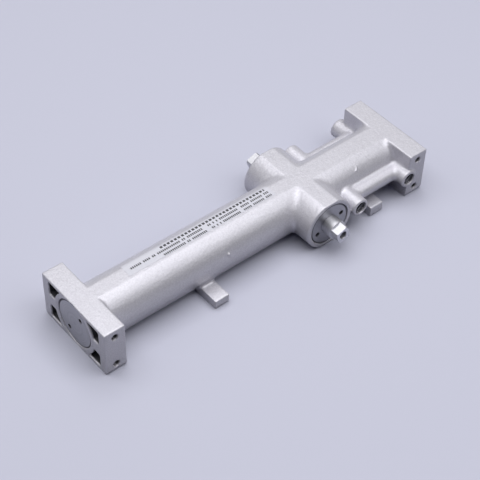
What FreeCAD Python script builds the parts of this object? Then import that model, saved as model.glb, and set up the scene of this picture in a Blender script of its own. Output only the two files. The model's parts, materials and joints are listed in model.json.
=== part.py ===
import FreeCAD, Part
import math
import os

# Hydraulic hinge closer: a cast body with a rack piston on a double-ended spindle,
# a closing spring in the long tube and an oil cylinder with its valves at the other end.
# +X runs from the spring end to the valve end, the adjusting screws look along -Y, +Z is up.
# The origin is under the middle of the body, on the surface that it lies on. All sizes are in mm.

# Clearances shared by the fits
slide_gap = 0.05
seat_gap = 0.05
thread_gap = 0.05
seal_gap = 0.03
roller_gap = 0.02
edge_break = 0.4

# Pinion and rack
gear_module = 1.25
gear_teeth = 11
pressure_angle = math.radians(25)
pinion_addendum = 1.25
rack_addendum = 1.125
root_depth = 1.5625
backlash = 0.16
spindle_range = math.radians(180)
travel_reserve = 0.1

# Spindle
journal_step = 0.125
neck_radius = 6.2
neck_beyond_arm = 6.5
square_across_flats = 9.0
square_turned_radius = 5.8
square_length = 5.5
square_turn = math.radians(21)
tapped_hole_radius = 2.5
tapped_hole_depth = 12.0

# Needle bearings and spindle seals
roller_radius = 1.0
roller_count = 16
bearing_shell = 1.0
bearing_length = 8.0
bearing_lip = 0.6
cage_wall = 0.8
washer_thickness = 1.0
washer_width = 3.3
shaft_seal_width = 2.75
shaft_seal_length = 2.6
seal_lip = 0.9
seal_groove_depth = 1.3

# Bearing caps
cap_nose_wall = 1.5
cap_rim = 1.9
cap_nose_length = 3.2
cap_disc_thickness = 3.6
cap_recess = 0.6
cap_ring_groove_width = 1.7
cap_ring_groove_depth = 1.25
spanner_hole_radius = 1.6
spanner_hole_depth = 2.2
cap_spanner_circle = 9.9
cap_spanner_turn = math.radians(22)
bearing_end_gap = 0.2

# Body casting
body_length = 244.0
bore_radius = 14.0
tube_wall = 3.2
cylinder_wall = 3.7
flat_wall = 2.5
arm_wall = 2.9
flange_thickness = 14.0
flange_corner = 2.5
cast_blend = 2.5
arm_rim_round = 0.6
boss_rim_round = 0.8
side_hole_radius = 2.1
side_hole_spacing = 22.0
pinion_room = 1.475
pinion_side_room = 0.3
bearing_shoulder_wall = 0.4

# Cored pockets in the flange faces
pocket_depth = 8.5
pocket_ring_wall = 3.5
pocket_side_wall = 6.0
pocket_edge_wall = 2.2
pocket_rib = 8.0
pocket_corner = 1.2

# End plugs
plug_thread_step = 1.5
plug_recess = 0.6
plug_head = 6.4
plug_nose = 4.8
plug_groove_width = 2.0
plug_groove_depth = 1.4
plug_spanner_circle = 9.5
plug_spanner_turn = math.radians(129)
plug_spanner_radius = 1.5
plug_spanner_depth = 3.5
mouth_chamfer = 0.6

# Valve bosses and oil channels
near_boss_radius = 6.0
near_boss_proud = 1.5
far_boss_radius = 6.4
far_boss_proud = 4.5
far_boss_drop = 2.0
valve_boss_root = 3.0
valve_arm_gap = 0.8
latching_valve_from_end = 14.2
valve_bore_radius = 4.05
valve_seat_wall = 4.3
passage_radius = 1.6
channel_radius = 1.5
channel_above_seat = 0.2
channel_boss_radius = 5.0
ball_seat_depth = 5.0
seal_ball_radius = 2.0

# Valve screws
valve_head_recess = 1.8
valve_body_length = 5.2
valve_needle_radius = 2.4
valve_tip_radius = 1.1
valve_tip_length = 2.4
valve_tip_entry = 0.4
valve_ring_groove_width = 1.5
valve_ring_groove_depth = 1.1
slot_width = 1.6
slot_depth = 2.0
slot_turn = math.radians(36)
hex_socket_across_flats = 4.0
hex_socket_depth = 2.6

# Rack piston
window_room = 1.5
window_roof_room = 0.975
port_margin = 0.6
spring_head_length = 13.0
oil_head_length = 13.5
spigot_radius = 7.8
spigot_length = 8.0
end_chamber = 6.2
piston_groove_width = 2.4
piston_groove_depth = 1.7
check_ball_radius = 2.0
check_hole_radius = 1.3
check_chamber_gap = 0.3
check_lift = 1.0
check_retainer_length = 1.5
check_retainer_bore = 1.2
check_seat_depth = 7.0

# Closing spring
spring_wire_radius = 2.5
spring_side_gap = 0.5
spring_turns = 16
spring_seat_thickness = 1.5
spring_seat_bore = 7.0

# Lugs cast on the underside
lug_width = 10.2
lug_reach = 29.3
lug_edge = 1.6
lug_top_round = 0.5
tube_lug_height = 6.5
tube_lug_from_spring_end = 82.4
lug_step_reach = 15.2
lug_step_rise = 2.1
cylinder_lug_height = 7.4
cylinder_lug_from_valve_end = 38.7

# Ejector mark on the oil cylinder
mark_radius = 2.3
mark_depth = 0.4
mark_cutter = 2.0
mark_from_valve_end = 45.0
mark_turn = math.radians(43)
mark_lean = 0.15

# Casting pip on the near side of the spring tube
pip_radius = 0.9
pip_proud = 0.6
pip_from_spring_end = 97.5
pip_turn = math.radians(70)

# Information label, left blank
label_thickness = 0.12
label_from_flange = 23.0
label_from_arm = 3.2
label_near_edge = -2.8
label_width = 9.4

# Sizes that follow from those above
pitch_radius = gear_module * gear_teeth / 2
pinion_tip_radius = pitch_radius + pinion_addendum
pinion_root_radius = pitch_radius - root_depth
piston_travel = pitch_radius * spindle_range + travel_reserve
journal_radius = pinion_tip_radius - journal_step
race_radius = journal_radius + 2 * roller_radius
bearing_radius = race_radius + bearing_shell
nose_radius = bearing_radius + cap_nose_wall
cap_radius = nose_radius + cap_rim
arm_radius = cap_radius + arm_wall
bearing_start = bore_radius + bearing_shoulder_wall
bearing_end = bearing_start + bearing_length
nose_end = bearing_end + bearing_end_gap
disc_start = nose_end + cap_nose_length
cap_face = disc_start + cap_disc_thickness
arm_reach = cap_face + cap_recess
neck_end = arm_reach + neck_beyond_arm
spindle_tip = neck_end + square_length

flange_width = 2 * arm_reach
axis_height = bore_radius + flat_wall
body_height = 2 * axis_height
tube_radius = bore_radius + tube_wall
cylinder_radius = bore_radius + cylinder_wall
plug_radius = bore_radius + plug_thread_step
plug_length = plug_recess + plug_head + plug_nose

spring_face = -body_length / 2
valve_face = body_length / 2
valve_offset = arm_radius + valve_arm_gap + near_boss_radius
window_end = valve_offset + passage_radius + piston_travel + port_margin
spindle_x = valve_face - (window_end + oil_head_length + end_chamber + plug_length)
closing_valve_x = spindle_x + valve_offset
latching_valve_x = valve_face - latching_valve_from_end
window_start_x = spindle_x - pinion_tip_radius - window_room
window_end_x = spindle_x + window_end
piston_start_x = window_start_x - spring_head_length
piston_end_x = window_end_x + oil_head_length
check_seat_x = window_end_x + check_seat_depth

near_boss_reach = arm_reach + near_boss_proud
far_boss_reach = arm_reach + far_boss_proud
valve_seat_y = bore_radius + valve_seat_wall
channel_y = valve_seat_y + channel_above_seat + channel_radius
check_chamber_radius = check_ball_radius + check_chamber_gap

AXIS_X = FreeCAD.Vector(1, 0, 0)
AXIS_Y = FreeCAD.Vector(0, 1, 0)
NEAR = -1
FAR = 1
SPRING_END = -1
VALVE_END = 1

# Radius, reach and height of the valve bosses on each side
boss_radius = {NEAR: near_boss_radius, FAR: far_boss_radius}
boss_reach = {NEAR: near_boss_reach, FAR: far_boss_reach}
boss_z = {NEAR: 0.0, FAR: -far_boss_drop}


def point(x, y, z):
    """A point given from the middle plane of the body, z counted from the bore axis."""
    return FreeCAD.Vector(x, y, axis_height + z)


def rod_x(radius, start, end, y=0.0, z=0.0):
    """A round bar along X between two x positions."""
    return Part.makeCylinder(radius, end - start, point(start, y, z), AXIS_X)


def rod_y(radius, start, end, side, x, z=0.0):
    """A round bar along Y on one side of the body, between two distances from its middle."""
    return Part.makeCylinder(radius, end - start, point(x, side * start, z), AXIS_Y * side)


def cone_y(start_radius, end_radius, start, end, side, x):
    """A cone along Y on one side of the body."""
    return Part.makeCone(start_radius, end_radius, end - start, point(x, side * start, 0), AXIS_Y * side)


def cone_x(start_radius, end_radius, start, end):
    """A cone along X on the bore axis, for start below end or above it."""
    direction = AXIS_X if end > start else AXIS_X * -1
    return Part.makeCone(start_radius, end_radius, abs(end - start), point(start, 0, 0), direction)


def block(x0, x1, y0, y1, z0, z1):
    """A box between six planes, z counted from the surface below the body."""
    return Part.makeBox(x1 - x0, y1 - y0, z1 - z0, FreeCAD.Vector(x0, y0, z0))


def side_block(x0, x1, y0, y1, z0, z1, side):
    """A box whose y limits are distances from the middle on one side."""
    low, high = sorted((side * y0, side * y1))
    return block(x0, x1, low, high, z0, z1)


def band(x0, x1, low, high):
    """A box over the width of the body between two heights from the bore axis."""
    return block(x0, x1, -arm_reach, arm_reach, axis_height + low, axis_height + high)


def edges_where(shape, test):
    """The edges of a shape whose points all pass a test."""
    found = []
    for edge in shape.Edges:
        first, last = edge.ParameterRange
        steps = [first + (last - first) * share for share in (0.0, 0.25, 0.5, 0.75, 1.0)]
        if all(test(edge.valueAt(step)) for step in steps):
            found.append(edge)
    return found


def near_value(value, target):
    return abs(value - target) < 0.01


def around_x(place, radius):
    """True for a point on a round surface along the bore axis."""
    return near_value(math.hypot(place.y, place.z - axis_height), radius)


def around_y(place, radius):
    """True for a point on a round surface along the spindle axis."""
    return near_value(math.hypot(place.x - spindle_x, place.z - axis_height), radius)


def blend_tube_arms(shape, radius):
    """Rounds the creases where a round barrel of the body meets the cross arm."""
    creases = edges_where(shape, lambda p: around_x(p, radius) and around_y(p, arm_radius))
    return shape.makeFillet(min(cast_blend, flange_thickness / 4), creases)


def barrel():
    """Spring tube, oil cylinder and cross arm, cut flat above and below."""
    tube = rod_x(tube_radius, spring_face + flange_thickness / 2, spindle_x)
    cylinder = rod_x(cylinder_radius, spindle_x, valve_face - flange_thickness / 2)
    arm = rod_y(arm_radius, -arm_reach, arm_reach, FAR, spindle_x)
    raw = tube.fuse([cylinder, arm])
    slab = block(spring_face, valve_face, -arm_reach, arm_reach, 0, body_height)
    flat = raw.common(slab).removeSplitter()
    flat = blend_tube_arms(flat, tube_radius)
    flat = blend_tube_arms(flat, cylinder_radius)
    rims = edges_where(flat, lambda p: near_value(abs(p.y), arm_reach) and around_y(p, arm_radius))
    return flat.makeFillet(min(arm_rim_round, arm_wall / 4), rims)


def flange(end):
    """One mounting flange with rounded lower corners and broken upper edges."""
    outer = end * body_length / 2
    low, high = sorted((outer, outer - end * flange_thickness))
    plate = block(low, high, -flange_width / 2, flange_width / 2, 0, body_height)
    foot = edges_where(plate, lambda p: near_value(p.z, 0) and near_value(abs(p.y), flange_width / 2))
    plate = plate.makeFillet(min(flange_corner, pocket_side_wall / 2), foot)
    top = edges_where(plate, lambda p: near_value(p.z, body_height))
    return plate.makeChamfer(edge_break, top)


def blend_flange(shape, end, radius):
    """Rounds the corner between a flange's inner face and the barrel."""
    inner = end * (body_length / 2 - flange_thickness)
    corner = edges_where(shape, lambda p: near_value(p.x, inner) and around_x(p, radius))
    return shape.makeFillet(min(cast_blend, flange_thickness / 4), corner)


def flange_pockets(end):
    """Four cored pockets round the end plug, with a solid rib at mid height on each side."""
    outer = end * body_length / 2
    low, high = sorted((outer, outer - end * pocket_depth))
    side = flange_width / 2 - pocket_side_wall
    core = block(low, high, -side, side, pocket_edge_wall, body_height - pocket_edge_wall)
    core = core.cut(rod_x(plug_radius + pocket_ring_wall, low, high))
    core = core.cut(band(low, high, -pocket_rib / 2, pocket_rib / 2))
    corners = [e for e in core.Edges if near_value(abs(e.Length), pocket_depth)]
    outer_corners = [e for e in corners if near_value(abs(e.Vertexes[0].Y), side)]
    return core.makeFillet(min(pocket_corner, pocket_side_wall / 4), outer_corners)


def side_holes(end, side):
    """Two tapped mounting holes in the side face of a flange, open to the pocket behind."""
    x = end * (body_length / 2 - flange_thickness / 2)
    inner = flange_width / 2 - pocket_side_wall - pocket_corner
    holes = []
    for z in (-side_hole_spacing / 2, side_hole_spacing / 2):
        holes.append(rod_y(side_hole_radius, inner, flange_width / 2, side, x, z))
        start = flange_width / 2 - edge_break
        mouth = Part.makeCone(side_hole_radius, side_hole_radius + edge_break, edge_break,
                              point(x, side * start, z), AXIS_Y * side)
        holes.append(mouth)
    return holes


def valve_arm(side):
    """Two valve bosses and the round rib of the oil channel between them."""
    inner_y = bore_radius + valve_boss_root
    radius = boss_radius[side]
    reach = boss_reach[side]
    z = boss_z[side]
    closing = rod_y(radius, inner_y, reach, side, closing_valve_x, z)
    nose = Part.makeSphere(radius, point(closing_valve_x, side * inner_y, z))
    latching = rod_y(radius, channel_y, reach, side, latching_valve_x, z)
    elbow = Part.makeSphere(radius, point(latching_valve_x, side * channel_y, z))
    rib = rod_x(channel_boss_radius, closing_valve_x, latching_valve_x, side * channel_y, z / 2)
    arm = closing.fuse([nose, latching, elbow, rib]).removeSplitter()
    rims = edges_where(arm, lambda p: near_value(p.y, side * reach))
    wall = radius - valve_bore_radius
    return arm.makeFillet(min(boss_rim_round, wall / 2), rims)


def lug(x, height, step):
    """A lug cast on the near side of the underside, with a small step at its root if asked."""
    plate = side_block(x - lug_width / 2, x + lug_width / 2, 0, lug_reach, 0, height, NEAR)
    edges = edges_where(plate, lambda p: near_value(p.y, -lug_reach) and p.z < height)
    plate = plate.makeFillet(min(lug_edge, height / 3, lug_width / 3), edges)
    top = edges_where(plate, lambda p: near_value(p.z, height) and p.y < 0)
    plate = plate.makeFillet(min(lug_top_round, height / 9), top)
    if step:
        root = side_block(x - lug_width / 2, x + lug_width / 2, 0, lug_step_reach,
                          0, height + lug_step_rise, NEAR)
        plate = plate.fuse(root)
    return plate


def spindle_bore(side):
    """Stepped bore for the pinion, the bearing and the cap on one side."""
    steps = [
        rod_y(pinion_tip_radius + pinion_room, 0, bearing_start, side, spindle_x),
        rod_y(bearing_radius + seat_gap, bearing_start, nose_end, side, spindle_x),
        rod_y(nose_radius + seat_gap, nose_end, disc_start, side, spindle_x),
        rod_y(cap_radius + thread_gap, disc_start, arm_reach, side, spindle_x),
        cone_y(cap_radius + thread_gap, cap_radius + thread_gap + edge_break,
               arm_reach - edge_break, arm_reach, side, spindle_x),
    ]
    return steps


def plug_bore(end):
    """Threaded seat of an end plug with its chamfered mouth."""
    outer = end * body_length / 2
    inner = outer - end * (plug_recess + plug_head)
    low, high = sorted((outer, inner))
    seat = rod_x(plug_radius + thread_gap, low, high)
    mouth = cone_x(plug_radius + mouth_chamfer, plug_radius, outer, outer - end * mouth_chamfer)
    return [seat, mouth]


def oil_ways(side):
    """Valve bores, passages to the cylinder and the channel drilled from the valve end."""
    ways = []
    for x in (closing_valve_x, latching_valve_x):
        ways.append(rod_y(valve_bore_radius, valve_seat_y, boss_reach[side], side, x, boss_z[side]))
        ways.append(rod_y(passage_radius, bore_radius / 2, valve_seat_y, side, x, boss_z[side]))
    ways.append(rod_x(channel_radius, closing_valve_x, valve_face, side * channel_y))
    seat = rod_x(seal_ball_radius + seat_gap, valve_face - ball_seat_depth, valve_face, side * channel_y)
    ways.append(seat)
    return ways


def near_flank(turn):
    """Outward direction on the near side of a barrel, turned from straight up."""
    return FreeCAD.Vector(0, -math.sin(turn), math.cos(turn))


def ejector_mark():
    """A shallow round mark on the upper near side of the oil cylinder, deepest at its lower edge."""
    x = valve_face - mark_from_valve_end
    outward = near_flank(mark_turn)
    downhill = AXIS_X + near_flank(mark_turn + math.pi / 2)
    start = point(x, 0, 0) + outward * (cylinder_radius - mark_depth)
    return Part.makeCylinder(mark_radius, mark_cutter, start, outward + downhill * mark_lean)


def casting_pip():
    """A small round pip that the mould leaves on the near side of the spring tube."""
    centre = point(spring_face + pip_from_spring_end, 0, 0)
    return Part.makeSphere(pip_radius, centre + near_flank(pip_turn) * (tube_radius + pip_proud - pip_radius))


def housing():
    """The cast body, machined for the spring, piston, spindle, plugs and valves."""
    body = barrel()
    for end, radius in ((SPRING_END, tube_radius), (VALVE_END, cylinder_radius)):
        body = body.fuse(flange(end)).removeSplitter()
        body = blend_flange(body, end, radius)
    tube_lug_x = spring_face + tube_lug_from_spring_end
    cylinder_lug_x = valve_face - cylinder_lug_from_valve_end
    extras = [lug(tube_lug_x, tube_lug_height, True), lug(cylinder_lug_x, cylinder_lug_height, False)]
    extras += [valve_arm(NEAR), valve_arm(FAR), casting_pip()]
    for extra in extras:
        body = body.fuse(extra)
    body = body.removeSplitter()
    cuts = [rod_x(bore_radius, spring_face, valve_face), ejector_mark()]
    for end in (SPRING_END, VALVE_END):
        cuts += plug_bore(end)
        cuts.append(flange_pockets(end))
    for side in (NEAR, FAR):
        cuts += spindle_bore(side) + oil_ways(side)
        for end in (SPRING_END, VALVE_END):
            cuts += side_holes(end, side)
    for cut in cuts:
        body = body.cut(cut)
    return body


def end_plug(end):
    """Threaded end plug with a sealing nose and two holes for a pin spanner."""
    outer = end * (body_length / 2 - plug_recess)
    shoulder = outer - end * plug_head
    inner = shoulder - end * plug_nose
    head = rod_x(plug_radius, *sorted((outer, shoulder)))
    rim = edges_where(head, lambda p: near_value(p.x, outer) and around_x(p, plug_radius))
    head = head.makeChamfer(edge_break, rim)
    plug = head.fuse(rod_x(bore_radius - seat_gap, *sorted((shoulder, inner))))
    groove_middle = shoulder - end * plug_nose / 2
    groove_low = groove_middle - plug_groove_width / 2
    groove_high = groove_middle + plug_groove_width / 2
    groove = rod_x(bore_radius, groove_low, groove_high)
    groove = groove.cut(rod_x(bore_radius - plug_groove_depth, groove_low, groove_high))
    holes = []
    for turn in (plug_spanner_turn, plug_spanner_turn + math.pi):
        y = plug_spanner_circle * math.cos(turn)
        z = plug_spanner_circle * math.sin(turn)
        bottom = outer - end * plug_spanner_depth
        holes.append(rod_x(plug_spanner_radius, *sorted((outer, bottom)), y, z))
    return plug.cut([groove] + holes)


def ring_in_groove(axis, centre, wall_radius, groove_depth):
    """A rubber ring lying between a groove's floor and the wall round it."""
    section = groove_depth / 2 - seal_gap
    middle = wall_radius - groove_depth / 2
    return Part.makeTorus(middle, section, centre, axis)


def plug_ring(end):
    """Rubber ring of an end plug."""
    middle = end * (body_length / 2 - plug_recess - plug_head - plug_nose / 2)
    return ring_in_groove(AXIS_X, point(middle, 0, 0), bore_radius, plug_groove_depth)


def spring_seat():
    """Flat steel ring that the closing spring pushes on at the end plug."""
    start = spring_face + plug_length
    ring = rod_x(bore_radius - spring_side_gap, start, start + spring_seat_thickness)
    return ring.cut(rod_x(spring_seat_bore, start, start + spring_seat_thickness))


def closing_spring():
    """Round-wire compression spring with ground ends, from its seat to the piston."""
    start = spring_face + plug_length + spring_seat_thickness
    length = piston_start_x - start
    middle = bore_radius - spring_side_gap - spring_wire_radius
    pitch = length / spring_turns
    helix = Part.makeHelix(pitch, length + 2 * spring_wire_radius, middle)
    wire = Part.makeCircle(spring_wire_radius, FreeCAD.Vector(middle, 0, 0), AXIS_Y)
    coil = Part.Wire(helix.Edges).makePipeShell([Part.Wire([wire])], True, True)
    coil.rotate(FreeCAD.Vector(0, 0, 0), AXIS_Y, 90)
    coil.translate(point(start - spring_wire_radius, 0, 0))
    room = block(start, start + length, -bore_radius, bore_radius, 0, body_height)
    return coil.common(room)


def tooth_space(x):
    """The cut between two rack teeth, with straight flanks at the pressure angle."""
    slope = math.tan(pressure_angle)
    half = (math.pi * gear_module / 2 + backlash / 2) / 2
    top = half + rack_addendum * slope
    floor = half - root_depth * slope
    corners = [(x - top, rack_addendum), (x + top, rack_addendum),
               (x + floor, -root_depth), (x - floor, -root_depth)]
    outline = [point(a, -bore_radius, b - pitch_radius) for a, b in corners]
    face = Part.Face(Part.makePolygon(outline + outline[:1]))
    return face.extrude(AXIS_Y * 2 * bore_radius)


def rack_piston():
    """Piston with a rack under its window, a spring spigot and a check valve in its oil head."""
    radius = bore_radius - slide_gap
    piston = rod_x(radius, piston_start_x, piston_end_x)
    piston = piston.fuse(rod_x(spigot_radius, piston_start_x - spigot_length, piston_start_x))
    roof = pinion_tip_radius + window_roof_room
    cuts = [band(window_start_x, window_end_x, rack_addendum - pitch_radius, roof)]
    circular_pitch = math.pi * gear_module
    reach = math.sqrt(pinion_tip_radius ** 2 - (pitch_radius - rack_addendum) ** 2)
    first = -math.ceil(reach / circular_pitch)
    last = math.ceil((piston_travel + reach) / circular_pitch)
    for index in range(first, last + 1):
        cuts.append(tooth_space(spindle_x + index * circular_pitch))
    middle = piston_end_x - piston_groove_width
    groove = rod_x(bore_radius, middle - piston_groove_width / 2, middle + piston_groove_width / 2)
    core = bore_radius - piston_groove_depth
    groove = groove.cut(rod_x(core, middle - piston_groove_width / 2, middle + piston_groove_width / 2))
    cuts.append(groove)
    cuts.append(rod_x(check_hole_radius, window_end_x - window_room, check_seat_x))
    cuts.append(rod_x(check_chamber_radius, check_seat_x, piston_end_x))
    return piston.cut(cuts)


def piston_ring():
    """Seal ring of the piston's oil head."""
    middle = piston_end_x - piston_groove_width
    return ring_in_groove(AXIS_X, point(middle, 0, 0), bore_radius, piston_groove_depth)


def ball_stand(ball_radius, hole_radius):
    """Height of a ball's centre over the rim of the hole that it rests on."""
    return math.sqrt(ball_radius ** 2 - hole_radius ** 2) + roller_gap


def check_ball():
    """Ball of the check valve, on its seat."""
    centre = check_seat_x + ball_stand(check_ball_radius, check_hole_radius)
    return Part.makeSphere(check_ball_radius, point(centre, 0, 0))


def check_retainer():
    """Pressed ring that limits the check ball's lift."""
    centre = check_seat_x + ball_stand(check_ball_radius, check_hole_radius)
    start = centre + check_ball_radius + check_lift + seat_gap
    ring = rod_x(check_chamber_radius - roller_gap, start, start + check_retainer_length)
    return ring.cut(rod_x(check_retainer_bore, start, start + check_retainer_length))


def involute_point(angle, offset, mirror):
    """A point of an involute flank, turned by an offset about the pinion axis."""
    base = pitch_radius * math.cos(pressure_angle)
    radius = base * math.sqrt(1 + angle * angle)
    turn = mirror * (angle - math.atan(angle)) + offset
    return FreeCAD.Vector(radius * math.sin(turn), 0, -radius * math.cos(turn))


def polar(radius, turn):
    return FreeCAD.Vector(radius * math.sin(turn), 0, -radius * math.cos(turn))


def pinion_outline():
    """Closed outline of the pinion, one tooth pointing straight down."""
    base = pitch_radius * math.cos(pressure_angle)
    tip_angle = math.sqrt((pinion_tip_radius / base) ** 2 - 1)
    inv_pitch = math.tan(pressure_angle) - pressure_angle
    half_tooth = (math.pi * gear_module / 2 - backlash / 2) / (2 * pitch_radius)
    half_base = half_tooth + inv_pitch
    step = 2 * math.pi / gear_teeth
    flank_shares = (0.0, 0.33, 0.66, 1.0)
    edges = []
    for tooth in range(gear_teeth):
        middle = tooth * step
        rising = [involute_point(tip_angle * share, middle - half_base, 1) for share in flank_shares]
        falling = [involute_point(tip_angle * share, middle + half_base, -1)
                   for share in reversed(flank_shares)]
        for flank in (rising, falling):
            curve = Part.BSplineCurve()
            curve.interpolate(flank)
            edges.append(curve.toShape())
        edges.append(Part.makeLine(polar(pinion_root_radius, middle - half_base), rising[0]))
        edges.append(Part.makeLine(falling[-1], polar(pinion_root_radius, middle + half_base)))
        tip = Part.Arc(rising[-1], polar(pinion_tip_radius, middle), falling[0])
        edges.append(tip.toShape())
        root = Part.Arc(polar(pinion_root_radius, middle + half_base),
                        polar(pinion_root_radius, middle + step / 2),
                        polar(pinion_root_radius, middle + step - half_base))
        edges.append(root.toShape())
    return Part.Wire(Part.__sortEdges__(edges))


def spindle_end(side):
    """Journal, neck and squared end of the spindle on one side."""
    journal_start = pinion_half_width()
    journal = rod_y(journal_radius, journal_start, nose_end, side, spindle_x)
    neck = rod_y(neck_radius, nose_end, neck_end, side, spindle_x)
    tip = rod_y(square_turned_radius, neck_end, spindle_tip, side, spindle_x)
    tip_edge = edges_where(tip, lambda p: near_value(p.y, side * spindle_tip))
    tip = tip.makeChamfer(edge_break, tip_edge)
    half = square_across_flats / 2
    square = side_block(spindle_x - half, spindle_x + half, neck_end, spindle_tip,
                        axis_height - half, axis_height + half, side)
    square.rotate(point(spindle_x, 0, 0), AXIS_Y, -math.degrees(square_turn))
    hole = rod_y(tapped_hole_radius, spindle_tip - tapped_hole_depth, spindle_tip, side, spindle_x)
    mouth = cone_y(tapped_hole_radius, tapped_hole_radius + edge_break,
                   spindle_tip - edge_break, spindle_tip, side, spindle_x)
    return journal.fuse([neck, tip.common(square)]).cut([hole, mouth])


def pinion_half_width():
    """Half the pinion's width: it just spans the rack, whose ends follow the piston."""
    rack_top = pitch_radius - rack_addendum
    return math.sqrt((bore_radius - slide_gap) ** 2 - rack_top ** 2) + pinion_side_room


def pinion_spindle():
    """Double-ended spindle with the pinion in its middle."""
    half = pinion_half_width()
    outline = pinion_outline()
    outline.translate(point(spindle_x, -half, 0))
    gear = Part.Face(outline).extrude(AXIS_Y * 2 * half)
    return gear.fuse([spindle_end(NEAR), spindle_end(FAR)])


def bearing_cap(side):
    """Threaded cap that closes a cross arm and holds the spindle seal."""
    disc = rod_y(cap_radius, disc_start, cap_face, side, spindle_x)
    rim = edges_where(disc, lambda p: near_value(p.y, side * cap_face) and around_y(p, cap_radius))
    disc = disc.makeChamfer(edge_break, rim)
    cap = disc.fuse(rod_y(nose_radius, nose_end, disc_start, side, spindle_x))
    groove_start = nose_end + (cap_nose_length - cap_ring_groove_width) / 2
    groove_end = groove_start + cap_ring_groove_width
    groove = rod_y(cap_radius, groove_start, groove_end, side, spindle_x)
    floor = nose_radius + seat_gap - cap_ring_groove_depth
    groove = groove.cut(rod_y(floor, groove_start, groove_end, side, spindle_x))
    washer_end = nose_end + washer_thickness + 2 * seat_gap
    seal_end = washer_end + shaft_seal_length + 2 * seat_gap
    cuts = [groove]
    cuts.append(rod_y(neck_radius + washer_width + seat_gap, nose_end, washer_end, side, spindle_x))
    cuts.append(rod_y(neck_radius + shaft_seal_width + seal_gap, washer_end, seal_end, side, spindle_x))
    cuts.append(rod_y(neck_radius + slide_gap, seal_end, cap_face, side, spindle_x))
    for turn in (cap_spanner_turn, cap_spanner_turn + math.pi):
        x = spindle_x + cap_spanner_circle * math.cos(turn)
        z = cap_spanner_circle * math.sin(turn)
        cuts.append(rod_y(spanner_hole_radius, cap_face - spanner_hole_depth, cap_face, side, x, z))
    return cap.cut(cuts)


def cap_ring(side):
    """Rubber ring on the nose of a bearing cap."""
    middle = nose_end + cap_nose_length / 2
    centre = point(spindle_x, side * middle, 0)
    return ring_in_groove(AXIS_Y, centre, nose_radius + seat_gap, cap_ring_groove_depth)


def thrust_washer(side):
    """Flat washer between the spindle's shoulder and its cap."""
    start = nose_end + seat_gap
    ring = rod_y(neck_radius + washer_width, start, start + washer_thickness, side, spindle_x)
    return ring.cut(rod_y(neck_radius + slide_gap, start, start + washer_thickness, side, spindle_x))


def shaft_seal(side):
    """Rubber lip seal round the spindle's neck, open towards the oil."""
    start = nose_end + washer_thickness + 3 * seat_gap
    end = start + shaft_seal_length
    ring = rod_y(neck_radius + shaft_seal_width, start, end, side, spindle_x)
    outer = neck_radius + shaft_seal_width - seal_lip
    groove = rod_y(outer, start, start + seal_groove_depth, side, spindle_x)
    groove = groove.cut(rod_y(neck_radius + seal_lip, start, start + seal_groove_depth, side, spindle_x))
    return ring.cut([rod_y(neck_radius + seal_gap, start, end, side, spindle_x), groove])


def bearing_shell_ring(side):
    """Drawn shell of a needle bearing with its two lips."""
    shell = rod_y(bearing_radius, bearing_start, bearing_end, side, spindle_x)
    inner_start = bearing_start + bearing_lip
    inner_end = bearing_end - bearing_lip
    race = rod_y(race_radius, inner_start, inner_end, side, spindle_x)
    hole = rod_y(journal_radius + bearing_lip / 2, bearing_start, bearing_end, side, spindle_x)
    return shell.cut([race, hole])


def roller_places():
    """Turn of each roller about the spindle axis."""
    return [2 * math.pi * index / roller_count for index in range(roller_count)]


def needle_rollers(side):
    """The rollers of one needle bearing, each a separate solid."""
    pitch = journal_radius + roller_radius
    start = bearing_start + 2 * bearing_lip
    end = bearing_end - 2 * bearing_lip
    rollers = []
    for turn in roller_places():
        x = spindle_x + pitch * math.cos(turn)
        z = pitch * math.sin(turn)
        rollers.append(rod_y(roller_radius - roller_gap, start, end, side, x, z))
    return Part.makeCompound(rollers)


def roller_cage(side):
    """Slotted sleeve that spaces the rollers."""
    pitch = journal_radius + roller_radius
    start = bearing_start + bearing_lip + 2 * seat_gap
    end = bearing_end - bearing_lip - 2 * seat_gap
    cage = rod_y(pitch + cage_wall / 2, start, end, side, spindle_x)
    cage = cage.cut(rod_y(pitch - cage_wall / 2, start, end, side, spindle_x))
    slot_half = roller_radius + seat_gap
    slots = []
    for turn in roller_places():
        slot = side_block(spindle_x + pitch - cage_wall, spindle_x + pitch + cage_wall,
                          bearing_start + 2 * bearing_lip - seat_gap,
                          bearing_end - 2 * bearing_lip + seat_gap,
                          axis_height - slot_half, axis_height + slot_half, side)
        slot.rotate(point(spindle_x, 0, 0), AXIS_Y, -math.degrees(turn))
        slots.append(slot)
    return cage.cut(slots)


def head_y(side):
    """Distance of a valve screw's head from the middle plane."""
    return boss_reach[side] - valve_head_recess


def screw_body(side, x):
    """Outer part of a valve screw or blanking screw, with its ring groove."""
    radius = valve_bore_radius - thread_gap
    z = boss_z[side]
    body = rod_y(radius, head_y(side) - valve_body_length, head_y(side), side, x, z)
    rim = edges_where(body, lambda p: near_value(p.y, side * head_y(side)))
    body = body.makeChamfer(edge_break / 2, rim)
    start = head_y(side) - valve_body_length + valve_ring_groove_width / 2
    end = start + valve_ring_groove_width
    groove = rod_y(valve_bore_radius, start, end, side, x, z)
    groove = groove.cut(rod_y(valve_bore_radius - valve_ring_groove_depth, start, end, side, x, z))
    return body.cut(groove)


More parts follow.
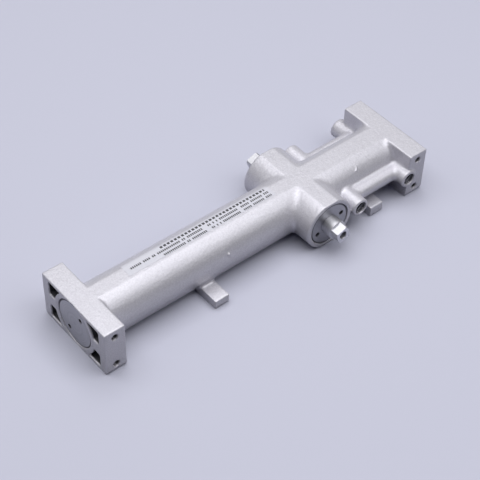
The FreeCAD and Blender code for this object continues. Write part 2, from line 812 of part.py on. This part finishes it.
def valve_screw(x):
    """Slotted adjusting screw with a needle that throttles the oil passage."""
    tip_y = valve_seat_y - valve_tip_entry
    cone_start = tip_y + valve_tip_length
    head = head_y(NEAR)
    needle = rod_y(valve_needle_radius, cone_start, head - valve_body_length, NEAR, x)
    tip = cone_y(valve_tip_radius, valve_needle_radius, tip_y, cone_start, NEAR, x)
    slot = side_block(x - valve_bore_radius, x + valve_bore_radius, head - slot_depth, head,
                      axis_height - slot_width / 2, axis_height + slot_width / 2, NEAR)
    slot.rotate(point(x, 0, 0), AXIS_Y, -math.degrees(slot_turn))
    return screw_body(NEAR, x).fuse([needle, tip]).cut(slot)


def blanking_screw(x):
    """Socket screw that closes a valve bore on the far side."""
    across = hex_socket_across_flats / math.sqrt(3)
    turns = [index * math.pi / 3 for index in range(7)]
    corners = [point(x + across * math.cos(turn), head_y(FAR), boss_z[FAR] + across * math.sin(turn))
               for turn in turns]
    socket = Part.Face(Part.makePolygon(corners)).extrude(AXIS_Y * -hex_socket_depth)
    return screw_body(FAR, x).cut(socket)


def valve_ring(side, x):
    """Rubber ring of a valve screw or blanking screw."""
    middle = head_y(side) - valve_body_length + valve_ring_groove_width
    centre = point(x, side * middle, boss_z[side])
    return ring_in_groove(AXIS_Y, centre, valve_bore_radius, valve_ring_groove_depth)


def seal_ball(side):
    """Steel ball pressed into the end of a drilled oil channel."""
    x = valve_face - ball_seat_depth + ball_stand(seal_ball_radius, channel_radius)
    return Part.makeSphere(seal_ball_radius, point(x, side * channel_y, 0))


def information_label():
    """Blank adhesive label over the top of the spring tube."""
    start = spring_face + flange_thickness + label_from_flange
    end = spindle_x - arm_radius - label_from_arm
    skin = rod_x(tube_radius + label_thickness, start, end)
    skin = skin.common(block(start, end, -arm_reach, arm_reach, 0, body_height + label_thickness))
    core = rod_x(tube_radius, start, end).common(block(start, end, -arm_reach, arm_reach, 0, body_height))
    patch = block(start, end, label_near_edge, label_near_edge + label_width, axis_height, 2 * body_height)
    return skin.cut(core).common(patch)


def save(name, shape):
    """Writes one piece under its name."""
    shape.exportStep("parts/" + name + ".step")


def main():
    os.makedirs("parts", exist_ok=True)
    save("housing", housing())
    save("spring_end_plug", end_plug(SPRING_END))
    save("spring_end_plug_ring", plug_ring(SPRING_END))
    save("cylinder_end_plug", end_plug(VALVE_END))
    save("cylinder_end_plug_ring", plug_ring(VALVE_END))
    save("spring_seat_washer", spring_seat())
    save("closing_spring", closing_spring())
    save("rack_piston", rack_piston())
    save("piston_seal_ring", piston_ring())
    save("check_valve_ball", check_ball())
    save("check_valve_retainer", check_retainer())
    save("pinion_spindle", pinion_spindle())
    for side, word in ((NEAR, "near"), (FAR, "far")):
        save(word + "_bearing_cap", bearing_cap(side))
        save(word + "_cap_ring", cap_ring(side))
        save(word + "_thrust_washer", thrust_washer(side))
        save(word + "_shaft_seal", shaft_seal(side))
        save(word + "_bearing_shell", bearing_shell_ring(side))
        save(word + "_needle_rollers", needle_rollers(side))
        save(word + "_roller_cage", roller_cage(side))
        save(word + "_channel_seal_ball", seal_ball(side))
    for word, x in (("closing", closing_valve_x), ("latching", latching_valve_x)):
        save(word + "_speed_valve", valve_screw(x))
        save(word + "_valve_ring", valve_ring(NEAR, x))
        save(word + "_side_blanking_screw", blanking_screw(x))
        save(word + "_side_blanking_ring", valve_ring(FAR, x))
    save("information_label", information_label())


main()
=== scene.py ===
import json
import math

import bpy
import numpy as np
from mathutils import Matrix, Vector


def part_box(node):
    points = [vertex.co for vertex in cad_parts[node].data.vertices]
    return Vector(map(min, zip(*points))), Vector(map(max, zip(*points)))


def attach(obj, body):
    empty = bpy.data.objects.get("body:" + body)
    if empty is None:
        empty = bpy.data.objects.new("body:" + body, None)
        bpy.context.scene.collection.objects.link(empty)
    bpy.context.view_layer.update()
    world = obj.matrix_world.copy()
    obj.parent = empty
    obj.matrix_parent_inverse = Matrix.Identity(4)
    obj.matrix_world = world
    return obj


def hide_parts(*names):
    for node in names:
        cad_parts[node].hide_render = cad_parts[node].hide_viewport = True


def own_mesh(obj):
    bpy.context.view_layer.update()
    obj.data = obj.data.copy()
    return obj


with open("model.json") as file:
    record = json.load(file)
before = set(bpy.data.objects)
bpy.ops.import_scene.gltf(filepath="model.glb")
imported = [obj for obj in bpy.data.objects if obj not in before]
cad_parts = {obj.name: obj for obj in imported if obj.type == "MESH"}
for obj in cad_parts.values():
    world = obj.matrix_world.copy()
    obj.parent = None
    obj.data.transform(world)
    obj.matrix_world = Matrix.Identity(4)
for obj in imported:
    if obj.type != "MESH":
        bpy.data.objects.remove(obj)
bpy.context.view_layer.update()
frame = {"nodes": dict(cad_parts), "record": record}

MM = 0.001
ORIGIN = Vector((0, 0, 0))


# Camera, solved from the photograph
VIEW_TARGET = Vector((2.19, 5.34, 0.0)) * MM
VIEW_DISTANCE = 797.8 * MM
VIEW_AZIMUTH = math.radians(-40.77)
VIEW_ELEVATION = math.radians(45.71)
VIEW_ROLL = math.radians(1.75)
LENS = 98.3
SENSOR = 36.0
NEAREST = 0.01
FARTHEST = 20


def add_camera():
    """The photograph's view: azimuth 0 looks along +Y."""
    back = Vector((math.sin(VIEW_AZIMUTH) * math.cos(VIEW_ELEVATION),
                   -math.cos(VIEW_AZIMUTH) * math.cos(VIEW_ELEVATION),
                   math.sin(VIEW_ELEVATION)))
    level = Vector((0, 0, 1)).cross(back).normalized()
    upright = back.cross(level)
    right = math.cos(VIEW_ROLL) * level + math.sin(VIEW_ROLL) * upright
    up = math.cos(VIEW_ROLL) * upright - math.sin(VIEW_ROLL) * level
    turn = Matrix((right, up, back)).transposed().to_4x4()
    data = bpy.data.cameras.new("camera")
    data.lens = LENS
    data.sensor_width = SENSOR
    data.clip_start = NEAREST
    data.clip_end = FARTHEST
    camera = bpy.data.objects.new("camera", data)
    camera.matrix_world = Matrix.Translation(VIEW_TARGET + back * VIEW_DISTANCE) @ turn
    bpy.context.scene.collection.objects.link(camera)
    bpy.context.scene.camera = camera


def srgb(red, green, blue):
    """Linear colour from the 0 to 255 values of a picture."""
    linear = []
    for value in (red, green, blue):
        share = value / 255
        linear.append(share / 12.92 if share <= 0.04045 else ((share + 0.055) / 1.055) ** 2.4)
    return (*linear, 1.0)


# Light and floor
FLOOR_SIZE = 8
FLOOR_COLOUR = srgb(192, 193, 209)
FLOOR_BOUNCE = (0.05, 0.05, 0.06, 1)
ROOM_COLOUR = (0.80, 0.82, 0.92, 1)
ROOM_STRENGTH = 0.03


def add_area(name, place, size, power):
    """A rectangular lamp that faces the origin."""
    data = bpy.data.lights.new(name, "AREA")
    data.shape = "RECTANGLE"
    data.size, data.size_y = size
    data.energy = power
    lamp = bpy.data.objects.new(name, data)
    lamp.location = place
    lamp.rotation_euler = (ORIGIN - Vector(place)).to_track_quat("-Z", "Y").to_euler()
    bpy.context.scene.collection.objects.link(lamp)


def floor_material():
    """A pale floor in the picture and in the metal, which throws less light up than it shows."""
    n = Nodes("floor")
    path = n.add("ShaderNodeLightPath")
    seen = n.maths("MAXIMUM", path.outputs["Is Camera Ray"], path.outputs["Is Glossy Ray"])
    seen = n.maths("MAXIMUM", seen, path.outputs["Is Transmission Ray"])
    n.set(Base_Color=n.mix(seen, FLOOR_BOUNCE, FLOOR_COLOUR), Roughness=0.9, Specular_IOR_Level=0.1)
    return n.material


def add_stage():
    """Floor, dim room and four soft lamps."""
    bpy.ops.mesh.primitive_plane_add(size=FLOOR_SIZE)
    floor = bpy.context.object
    floor.name = "floor"
    floor.data.materials.append(floor_material())

    world = bpy.data.worlds.new("room")
    world.use_nodes = True
    background = world.node_tree.nodes["Background"]
    background.inputs["Color"].default_value = ROOM_COLOUR
    background.inputs["Strength"].default_value = ROOM_STRENGTH
    bpy.context.scene.world = world

    add_area("overhead_softbox", (0, 0.05, 1.3), (1.5, 1.5), 19.5)
    add_area("far_card", (0.75, 0.95, 0.95), (1.8, 1.8), 4)
    add_area("left_card", (-0.95, 0.75, 0.95), (1.5, 1.5), 4)
    add_area("near_card", (0.6, -0.95, 1.2), (1.3, 0.9), 6)


# Places taken from the frame
def middle(node):
    low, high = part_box(node)
    return (low + high) / 2


def half_size(node):
    low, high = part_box(node)
    return (high - low) / 2


def near_face(node):
    """How far a piece's near face stands from the middle plane of the body."""
    return half_size(node).y - middle(node).y


def far_face(node):
    """How far a piece's far face stands from the middle plane of the body."""
    return half_size(node).y + middle(node).y


# Materials
class Nodes:
    """A short way to build a node material."""

    def __init__(self, name):
        self.material = bpy.data.materials.new(name)
        self.material.use_nodes = True
        self.tree = self.material.node_tree
        self.shader = self.tree.nodes["Principled BSDF"]

    def fill(self, socket, value):
        """Links a socket to another one, or sets it to a value."""
        if isinstance(value, bpy.types.NodeSocket):
            self.tree.links.new(value, socket)
        else:
            socket.default_value = value

    def add(self, kind, inputs=(), **settings):
        node = self.tree.nodes.new(kind)
        for key, value in settings.items():
            setattr(node, key, value)
        for key, value in dict(inputs).items():
            self.fill(node.inputs[key], value)
        return node

    def set(self, **values):
        for key, value in values.items():
            self.fill(self.shader.inputs[key.replace("_", " ")], value)

    def place(self):
        return self.add("ShaderNodeTexCoord").outputs["Object"]

    def split(self, vector):
        """The X, Y and Z of a vector."""
        return self.add("ShaderNodeSeparateXYZ", {"Vector": vector}).outputs

    def noise(self, vector, scale, detail=3.0, roughness=0.5):
        node = self.add("ShaderNodeTexNoise", {"Vector": vector, "Scale": scale, "Detail": detail,
                                               "Roughness": roughness})
        return node.outputs["Fac"]

    def ramp(self, value, low, high, first, last):
        node = self.add("ShaderNodeMapRange", {"Value": value, "From Min": low, "From Max": high,
                                               "To Min": first, "To Max": last})
        return node.outputs["Result"]

    def spread(self, noise, first=0, last=1):
        """Stretches the middle of a noise, where nearly all its values lie, over a range."""
        return self.ramp(noise, 0.3, 0.7, first, last)

    def mix(self, share, first, second):
        node = self.add("ShaderNodeMix", data_type="RGBA")
        self.fill(node.inputs["Factor"], share)
        self.fill(node.inputs[6], first)
        self.fill(node.inputs[7], second)
        return node.outputs[2]

    def maths(self, operation, first, second=0.0):
        node = self.add("ShaderNodeMath", operation=operation)
        self.fill(node.inputs[0], first)
        self.fill(node.inputs[1], second)
        return node.outputs[0]

    def painted(self, name):
        """Share written on the mesh under a name, 0 where there is none."""
        return self.add("ShaderNodeAttribute", attribute_name=name).outputs["Fac"]

    def bump(self, height, distance, strength, under=None):
        inputs = {"Height": height, "Distance": distance, "Strength": strength}
        if under is not None:
            inputs["Normal"] = under
        return self.add("ShaderNodeBump", inputs).outputs["Normal"]


NEAR_BLACK = (0.02, 0.02, 0.025, 1)

# Depth behind a face at which painted shade makes a hole or slot dark, and down to which it is left
# unshaded
HOLE_DARK = 1.6 * MM
HOLE_BRIGHT = 0.3 * MM
SLOT_DARK = 0.8 * MM
SLOT_BRIGHT = 0.25 * MM

# Distance inside a rim down to which the painted shade of the gap round it reaches, and where it is full
RIM_BRIGHT = 1.1 * MM
RIM_DARK = 0.4 * MM


def cast_aluminium():
    """Fine-grained silver casting, with painted shade in its cored pockets and deep in its bores."""
    n = Nodes("cast_aluminium")
    place = n.place()
    grain = n.noise(place, 1100, 3, 0.6)
    coarse = n.noise(place, 500, 3)
    cloud = n.noise(place, 28, 3)
    tone = n.mix(n.spread(grain), (0.55, 0.54, 0.60, 1), (0.69, 0.68, 0.74, 1))
    tone = n.mix(n.ramp(cloud, 0.35, 0.65, 0, 0.3), tone, (0.59, 0.58, 0.64, 1))
    # Painted shade: near black where the skin's pockets and bores are marked
    tone = n.mix(n.painted("painted_recess_shade"), tone, (0.03, 0.03, 0.04, 1))
    normal = n.bump(coarse, 0.00030, 0.6)
    normal = n.bump(grain, 0.00016, 0.8, normal)
    n.set(Base_Color=tone, Metallic=0.4, Roughness=n.spread(cloud, 0.36, 0.44), Normal=normal)
    return n.material


def turned_metal(name, axis, centre, dark, light, roughness, face=None, rim=None):
    """Machined metal with tool rings round an axis, with painted shade behind its face and painted shade of
    the gap at its rim.
    """
    n = Nodes(name)
    place = n.place()
    parts = n.split(place)
    squares = []
    for key in "XYZ".replace(axis, ""):
        shift = n.maths("SUBTRACT", parts[key], centre["XYZ".index(key)])
        squares.append(n.maths("MULTIPLY", shift, shift))
    radius = n.maths("SQRT", n.maths("ADD", *squares))
    line = n.add("ShaderNodeCombineXYZ", {"X": radius, "Y": n.maths("MULTIPLY", parts[axis], 0.3)})
    rings = n.noise(line.outputs["Vector"], 3200, 2)
    cloud = n.noise(place, 60, 2)
    tone = n.mix(n.spread(rings), dark, light)
    # Painted shade inside the holes behind the face
    if face:
        out = n.maths("ABSOLUTE", parts[axis])
        tone = n.mix(n.ramp(out, face - HOLE_DARK, face - HOLE_BRIGHT, 0.85, 0), tone, NEAR_BLACK)
    # Painted shade of the gap round the rim
    if rim:
        tone = n.mix(n.ramp(radius, rim - RIM_BRIGHT, rim - RIM_DARK, 0, 0.95), tone, NEAR_BLACK)
    n.set(Base_Color=tone, Metallic=0.9, Roughness=n.spread(cloud, roughness - 0.04, roughness + 0.05),
          Normal=n.bump(rings, 0.00003, 0.5))
    return n.material


def screw_metal(name, face):
    """Zinc-plated screw, with painted shade in the slot or socket behind its face."""
    n = Nodes(name)
    place = n.place()
    fine = n.noise(place, 900, 3)
    tone = n.mix(n.spread(fine), (0.16, 0.16, 0.18, 1), (0.26, 0.26, 0.28, 1))
    # Painted shade in the slot or socket
    out = n.maths("ABSOLUTE", n.split(place)["Y"])
    tone = n.mix(n.ramp(out, face - SLOT_DARK, face - SLOT_BRIGHT, 0.95, 0), tone, NEAR_BLACK)
    n.set(Base_Color=tone, Metallic=0.9, Roughness=n.spread(fine, 0.26, 0.36),
          Normal=n.bump(fine, 0.00002, 0.4))
    return n.material


def plain_metal(name, dark, light, roughness):
    """Clean steel with a faint grain."""
    n = Nodes(name)
    place = n.place()
    fine = n.noise(place, 900, 3)
    cloud = n.noise(place, 90, 2)
    tone = n.mix(n.spread(fine), dark, light)
    n.set(Base_Color=tone, Metallic=1.0, Roughness=n.spread(cloud, roughness - 0.05, roughness + 0.05),
          Normal=n.bump(fine, 0.00002, 0.4))
    return n.material


def rubber():
    n = Nodes("seal_rubber")
    fine = n.noise(n.place(), 1200, 3)
    tone = n.mix(fine, (0.012, 0.012, 0.013, 1), (0.035, 0.035, 0.036, 1))
    n.set(Base_Color=tone, Roughness=n.spread(fine, 0.5, 0.7), Normal=n.bump(fine, 0.00003, 0.5))
    return n.material


# Rows of plain dashes printed on the label: distance from its middle, dash height and pitch,
# first and last place as shares of its length, and the share of dashes left out
LABEL_ROWS = (
    (2.45 * MM, 1.7 * MM, 2.55 * MM, 0.24, 0.97, 0.0),
    (-0.4 * MM, 1.6 * MM, 1.25 * MM, 0.03, 0.98, 0.13),
    (-3.4 * MM, 1.6 * MM, 1.20 * MM, 0.22, 0.98, 0.13),
)
DASH_SHARE = 0.66
INK_SHARE = 0.95


def label_film():
    """Pale film with three rows of plain dashes, which say nothing."""
    n = Nodes("label_film")
    place = n.place()
    fine = n.noise(place, 700, 2)
    tone = n.mix(fine, (0.57, 0.57, 0.64, 1), (0.64, 0.64, 0.71, 1))
    low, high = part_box("information_label")
    length = high.x - low.x
    parts = n.split(place)
    along, across = parts["X"], parts["Y"]
    ink = 0.0
    for offset, height, pitch, first, last, gaps in LABEL_ROWS:
        row = (low.y + high.y) / 2 + offset
        in_row = n.maths("LESS_THAN", n.maths("ABSOLUTE", n.maths("SUBTRACT", across, row)), height / 2)
        step = n.maths("DIVIDE", along, pitch)
        cell = n.maths("FLOOR", step)
        inside = n.maths("LESS_THAN", n.maths("SUBTRACT", step, cell), DASH_SHARE)
        dice = n.add("ShaderNodeTexWhiteNoise", {"W": cell}, noise_dimensions="1D").outputs["Value"]
        mark = n.maths("GREATER_THAN", dice, gaps)
        after = n.maths("GREATER_THAN", along, low.x + first * length)
        before = n.maths("LESS_THAN", along, low.x + last * length)
        for share in (in_row, inside, after, before):
            mark = n.maths("MULTIPLY", mark, share)
        ink = n.maths("MAXIMUM", ink, mark)
    tone = n.mix(n.maths("MULTIPLY", ink, INK_SHARE), tone, NEAR_BLACK)
    n.set(Base_Color=tone, Roughness=n.spread(fine, 0.35, 0.45), Normal=n.bump(fine, 0.00001, 0.3))
    return n.material


def dress_nodes():
    """Gives every CAD node its material."""
    spindle = middle("pinion_spindle")
    bore = middle("spring_end_plug")
    cast = cast_aluminium()
    cap = turned_metal("turned_cap", "Y", spindle, (0.30, 0.30, 0.33, 1), (0.40, 0.40, 0.43, 1), 0.38,
                       near_face("near_bearing_cap"), half_size("near_bearing_cap").z)
    plug = turned_metal("turned_plug", "X", bore, (0.36, 0.36, 0.39, 1), (0.46, 0.46, 0.49, 1), 0.36,
                        half_size("spring_end_plug").x - bore.x, half_size("spring_end_plug").z)
    shaft = turned_metal("ground_spindle", "Y", spindle, (0.56, 0.56, 0.60, 1), (0.66, 0.66, 0.70, 1), 0.44)
    steel = plain_metal("machined_steel", (0.38, 0.38, 0.39, 1), (0.52, 0.52, 0.53, 1), 0.34)
    bright = plain_metal("bright_steel", (0.66, 0.66, 0.67, 1), (0.76, 0.76, 0.77, 1), 0.14)
    spring = plain_metal("spring_steel", (0.10, 0.10, 0.11, 1), (0.18, 0.18, 0.20, 1), 0.32)
    slotted = screw_metal("slotted_screw", near_face("closing_speed_valve"))
    socketed = screw_metal("socket_screw", far_face("closing_side_blanking_screw"))
    by_slot = {
        "cast_body": cast, "seal_rubber": rubber(), "machined_steel": steel, "bright_steel": bright,
        "spindle_steel": shaft, "spring_steel": spring, "valve_steel": slotted, "label_film": label_film(),
        "machined_aluminium": plug,
    }
    for part in frame["record"]["subparts"]:
        node = frame["nodes"][part["node"]]
        material = by_slot[part["material_slot"]]
        if part["node"].endswith("bearing_cap"):
            material = cap
        if part["node"].endswith("blanking_screw"):
            material = socketed
        node.data.materials.clear()
        node.data.materials.append(material)


# Sizes of the casting that the frame's boxes don't give
FLANGE_THICKNESS = 14.0 * MM
POCKET_DEPTH = 8.5 * MM
POCKET_MOUTH = 1.0 * MM
POCKET_FLOOR_GAP = 0.3 * MM
POCKET_RING_RADIUS = 19.0 * MM
POCKET_RING_GAP = 0.2 * MM
POCKET_HALF_WIDTH = 24.2 * MM
POCKET_HALF_HEIGHT = 14.5 * MM
SIDE_HOLE_RADIUS = 2.1 * MM
SIDE_HOLE_RISE = 11.0 * MM
SIDE_HOLE_START = 5.0 * MM
CROSS_BORE_START = 3.0 * MM
BALL_SEAT_DEPTH = 4.0 * MM
CAP_RECESS = 0.6 * MM
SCREW_RECESS = 1.8 * MM
BARREL_INSIDE = 15.0 * MM
MARK_FROM_VALVE_END = 45.0 * MM
MARK_TURN = math.radians(43)
MARK_RADIUS = 2.3 * MM
LIP_HEIGHT = 0.4 * MM
LIP_WIDTH = 0.4 * MM
PIP_FROM_SPRING_END = 97.5 * MM
PIP_TURN = math.radians(70)
PIP_RADIUS = 0.9 * MM
PIP_RISE = 0.5 * MM

# Skin of the casting: the CAD housing with rounded creases and softened edges
SKIN_VOXEL = 0.45 * MM
SKIN_SHARE = 0.2
CREASE_STEPS = 60
LIGHT_CREASE_STEPS = 8
NORMAL_STEPS = 10
EDGE_STEPS = 3
SMOOTH_ANGLE = math.radians(35)

# Where the creases are rounded deeply, and where machined surfaces keep their edges
CROSS_ARM_ZONE = 26.0 * MM
VALVE_ARM_ZONE = 8.5 * MM
LUG_ZONE = 10.0 * MM
CREASE_REACH = 27.5 * MM
SEAT_MARGIN = 0.6 * MM
MOUTH_MARGIN = 5.0 * MM

# Painted shade on the casting in its pockets and bores, and how deep a bore's mouth stays free of it
POCKET_SHADE = 0.85
BORE_SHADE = 0.75
BRIGHT_MOUTH = 1.0 * MM


def near_line(places, axis, centre, radius):
    """True for points within a radius of a line along an axis."""
    across = [k for k in range(3) if k != axis]
    gap = places[:, across] - np.array([centre[k] for k in across])
    return np.hypot(gap[:, 0], gap[:, 1]) < radius


def bores():
    """Every bore, seat and hole cut after casting: axis, a point on it, radius, and where it
    starts and ends from the middle of the body, on one side of it or on both (0)."""
    low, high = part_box("housing")
    plug = "spring_end_plug"
    cap = "near_bearing_cap"
    seat = half_size(plug).z
    reach = near_face(cap) + CAP_RECESS
    found = [
        (0, middle(plug), seat, 0, high.x, 0),
        (1, middle(cap), half_size(cap).z, seat - CROSS_BORE_START, reach, 0),
    ]
    for screw in ("closing_speed_valve", "latching_speed_valve",
                  "closing_side_blanking_screw", "latching_side_blanking_screw"):
        centre, half = middle(screw), half_size(screw)
        mouth = abs(centre.y) + half.y + SCREW_RECESS
        found.append((1, centre, half.z, seat, mouth, math.copysign(1, centre.y)))
    for ball in ("near_channel_seal_ball", "far_channel_seal_ball"):
        centre = middle(ball)
        found.append((0, centre, half_size(ball).z, centre.x - BALL_SEAT_DEPTH, high.x, 1))
    for x in (low.x + FLANGE_THICKNESS / 2, high.x - FLANGE_THICKNESS / 2):
        for rise in (-SIDE_HOLE_RISE, SIDE_HOLE_RISE):
            centre = Vector((x, 0, middle(plug).z + rise))
            found.append((1, centre, SIDE_HOLE_RADIUS, seat + SIDE_HOLE_START, reach, 0))
    return found


def in_bores(places, below):
    """True in and round the bores, from a distance below their mouths inwards."""
    found = np.zeros(len(places), bool)
    for axis, centre, radius, start, mouth, side in bores():
        along = places[:, axis] * side if side else np.abs(places[:, axis])
        inside = near_line(places, axis, centre, radius + SEAT_MARGIN)
        found |= inside & (along > start) & (along < mouth - below)
    return found


def pocketed(places):
    """True in the cored pockets of the flange faces."""
    low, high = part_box("housing")
    bore = middle("spring_end_plug")
    depth = np.minimum(places[:, 0] - low.x, high.x - places[:, 0])
    found = (depth > POCKET_MOUTH) & (depth < POCKET_DEPTH + POCKET_FLOOR_GAP)
    found &= ~near_line(places, 0, bore, POCKET_RING_RADIUS - POCKET_RING_GAP)
    found &= np.abs(places[:, 1]) < POCKET_HALF_WIDTH
    return found & (np.abs(places[:, 2] - bore.z) < POCKET_HALF_HEIGHT)


def flank_spot(places, x, turn, radius):
    """True round a spot on the near side of the barrel, whose edge stays crisp."""
    bore = middle("spring_end_plug")
    outward = np.array([0, -math.sin(turn), math.cos(turn)])
    gap = places - np.array([x, bore.y, bore.z])
    height = gap @ outward
    beside = np.linalg.norm(gap - height[:, None] * outward, axis=1)
    return (beside < radius + SKIN_VOXEL * 2) & (height > 0)


def moulded_marks(places):
    """True round the ejector mark and the pip."""
    low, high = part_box("housing")
    mark = flank_spot(places, high.x - MARK_FROM_VALVE_END, MARK_TURN, MARK_RADIUS)
    return mark | flank_spot(places, low.x + PIP_FROM_SPRING_END, PIP_TURN, PIP_RADIUS)


def mark_growth(along, turn, radius):
    """Share by which points move outwards to level the ejector mark, with a lip at its lower edge."""
    down = (turn - MARK_TURN) * radius
    beside = np.hypot(along, down)
    chosen = (beside < MARK_RADIUS + 2 * SKIN_VOXEL) & (radius > BARREL_INSIDE)
    outer = np.max(radius[chosen])
    lower = np.clip((along + down) / np.maximum(beside, MM / 10) - 0.5, 0, 1)
    lip = LIP_HEIGHT * lower * np.exp(-((beside - MARK_RADIUS) / LIP_WIDTH) ** 2)
    return np.where(chosen, (outer + lip) / radius, 1)


def pip_growth(along, turn, radius, outside):
    """Share by which points move further outwards to raise the pip."""
    beside = np.hypot(along, (turn - PIP_TURN) * radius)
    return np.where(outside, PIP_RISE / radius * np.exp(-(beside / PIP_RADIUS) ** 2), 0)


def shape_marks(places):
    """Gives the ejector mark and the pip their fine forms."""
    low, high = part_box("housing")
    bore = middle("spring_end_plug")
    across, up = places[:, 1] - bore.y, places[:, 2] - bore.z
    radius = np.hypot(across, up)
    turn = np.arctan2(-across, up)
    grow = mark_growth(places[:, 0] - (high.x - MARK_FROM_VALVE_END), turn, radius)
    grow += pip_growth(places[:, 0] - low.x - PIP_FROM_SPRING_END, turn, radius, radius > bore.z)
    places[:, 1] = bore.y + across * grow
    places[:, 2] = bore.z + up * grow


def paint(mesh, name, shares):
    """Writes a share on every point of a mesh."""
    layer = mesh.attributes.new(name, "FLOAT", "POINT")
    layer.data.foreach_set("value", shares.astype(np.float32))


def point_places(mesh):
    places = np.empty(len(mesh.vertices) * 3)
    mesh.vertices.foreach_get("co", places)
    return places.reshape(-1, 3)


def place_points(mesh, places):
    mesh.vertices.foreach_set("co", places.ravel())
    mesh.update()


def point_normals(mesh):
    normals = np.empty(len(mesh.vertices) * 3)
    mesh.vertex_normals.foreach_get("vector", normals)
    return normals.reshape(-1, 3)


def point_pairs(mesh):
    """The two points of each edge."""
    edges = np.empty(len(mesh.edges) * 2, int)
    mesh.edges.foreach_get("vertices", edges)
    return edges.reshape(-1, 2)


def pull(places, edges, count):
    """How far each point lies from the mean place of its neighbours."""
    total = np.zeros_like(places)
    for k in range(3):
        total[:, k] = np.bincount(edges[:, 0], places[edges[:, 1], k], len(places))
        total[:, k] += np.bincount(edges[:, 1], places[edges[:, 0], k], len(places))
    return total / count[:, None] - places


def soften(mesh):
    """Rounds the hollow creases of the mesh, deeply where arms and lugs meet the barrel, then
    its edges lightly. What is machined keeps its shape, and the flat base stays level."""
    places = point_places(mesh)
    edges = point_pairs(mesh)
    count = np.bincount(edges.ravel(), minlength=len(places))
    low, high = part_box("housing")
    cast = ~(in_bores(places, -MOUTH_MARGIN) | moulded_marks(places))
    depth = np.minimum(places[:, 0] - low.x, high.x - places[:, 0])
    crease = cast & (depth > POCKET_DEPTH + POCKET_FLOOR_GAP) & (np.abs(places[:, 1]) < CREASE_REACH)
    deep = places[:, 0] > middle("closing_speed_valve").x - VALVE_ARM_ZONE
    deep |= places[:, 2] < low.z + LUG_ZONE
    deep |= np.abs(places[:, 0] - middle("pinion_spindle").x) < CROSS_ARM_ZONE
    base = places[:, 2] < low.z + SKIN_VOXEL / 4
    for step in range(CREASE_STEPS):
        if step % NORMAL_STEPS == 0:
            place_points(mesh, places)
            normals = point_normals(mesh)
        move = pull(places, edges, count)
        chosen = crease & ((move * normals).sum(1) > 0)
        if step >= LIGHT_CREASE_STEPS:
            chosen &= deep
        move[~chosen] = 0
        move[base, 2] = 0
        places += move / 2
    for step in range(EDGE_STEPS):
        move = pull(places, edges, count)
        move[~cast] = 0
        move[base, 2] = 0
        places += move / 2
    places[:, 2] = np.maximum(places[:, 2], low.z)
    shape_marks(places)
    place_points(mesh, places)


def cast_skin():
    """The casting as it leaves its mould, in place of the sharp CAD housing."""
    node = frame["nodes"]["housing"]
    skin = bpy.data.objects.new("cast_housing", node.data.copy())
    bpy.context.scene.collection.objects.link(skin)
    bpy.context.view_layer.objects.active = skin
    remesh = skin.modifiers.new("remesh", "REMESH")
    remesh.mode = "VOXEL"
    remesh.voxel_size = SKIN_VOXEL
    bpy.ops.object.modifier_apply(modifier="remesh")
    mesh = skin.data
    soften(mesh)
    thin = skin.modifiers.new("thin", "DECIMATE")
    thin.ratio = SKIN_SHARE
    bpy.ops.object.modifier_apply(modifier="thin")

    places = point_places(mesh)
    # Painted shade in the cored pockets and deep in the bores, written on the skin
    shade = np.maximum(POCKET_SHADE * pocketed(places), BORE_SHADE * in_bores(places, BRIGHT_MOUTH))
    paint(mesh, "painted_recess_shade", shade)
    mesh.materials.clear()
    mesh.materials.append(bpy.data.materials["cast_aluminium"])
    bpy.ops.object.select_all(action="DESELECT")
    skin.select_set(True)
    bpy.ops.object.shade_smooth_by_angle(angle=SMOOTH_ANGLE)
    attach(skin, "root")
    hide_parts("housing")


def coil_spring():
    """The closing spring, which ends a hair short of the piston, as a copy of its CAD mesh."""
    node = frame["nodes"]["closing_spring"]
    coil = bpy.data.objects.new("closing_spring_coil", node.data.copy())
    bpy.context.scene.collection.objects.link(coil)
    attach(coil, "root")
    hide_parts("closing_spring")
    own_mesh(coil)


add_camera()
add_stage()
dress_nodes()
cast_skin()
coil_spring()

scene = bpy.context.scene
scene.view_settings.view_transform = "Standard"
